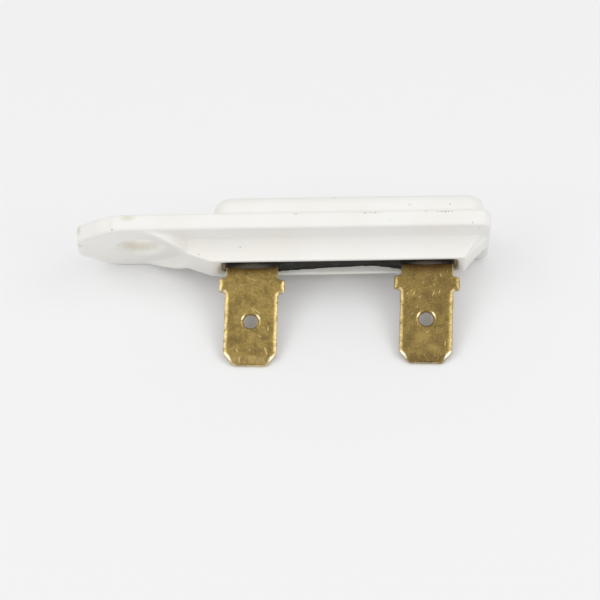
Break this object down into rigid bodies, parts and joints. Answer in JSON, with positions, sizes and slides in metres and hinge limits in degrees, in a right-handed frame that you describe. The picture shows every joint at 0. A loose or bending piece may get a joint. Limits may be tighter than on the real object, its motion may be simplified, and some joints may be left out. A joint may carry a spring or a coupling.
{
  "type": "thermal fuse",
  "caption": "One-shot thermal fuse: long ceramic body with a screw ear, an insulating collar, a rear heat-sensing bulge and flat brass push-on blades set in black potting.",
  "frame": {"origin": "centre of the mounting hole on the plate's back face", "axes": "+X along the plate away from the screw ear, -Y the way the blades point, +Z across the plate"},
  "size_m": [0.0493, 0.0194, 0.0136],
  "materials": {
    "ceramic_housing": "dry-pressed, matt, off-white with a few specks",
    "potting_compound": "cast epoxy, black, slightly wavy",
    "terminal_brass": "stamped strip, fine scratches, coined bright edges",
    "case_metal": "drawn, plated",
    "lead_wire": "drawn, tinned",
    "pellet": "pressed organic pellet, waxy",
    "disc_metal": "stamped",
    "spring_steel": "drawn wire",
    "contact_metal": "stamped, plated",
    "bushing_ceramic": "fired, matt",
    "seal_resin": "cast epoxy, amber"
  },
  "bodies": {
    "root": {"housing": "ceramic_housing", "potting": "potting_compound", "terminal_left": "terminal_brass", "terminal_right": "terminal_brass", "cutoff_case": "case_metal", "case_lead": "lead_wire", "thermal_pellet": "pellet", "pellet_disc": "disc_metal", "barrel_spring": "spring_steel", "spring_disc": "disc_metal", "star_contact": "contact_metal", "trip_spring": "spring_steel", "ceramic_bushing": "bushing_ceramic", "isolated_lead": "lead_wire", "epoxy_seal": "seal_resin"}
  },
  "joints": []
}
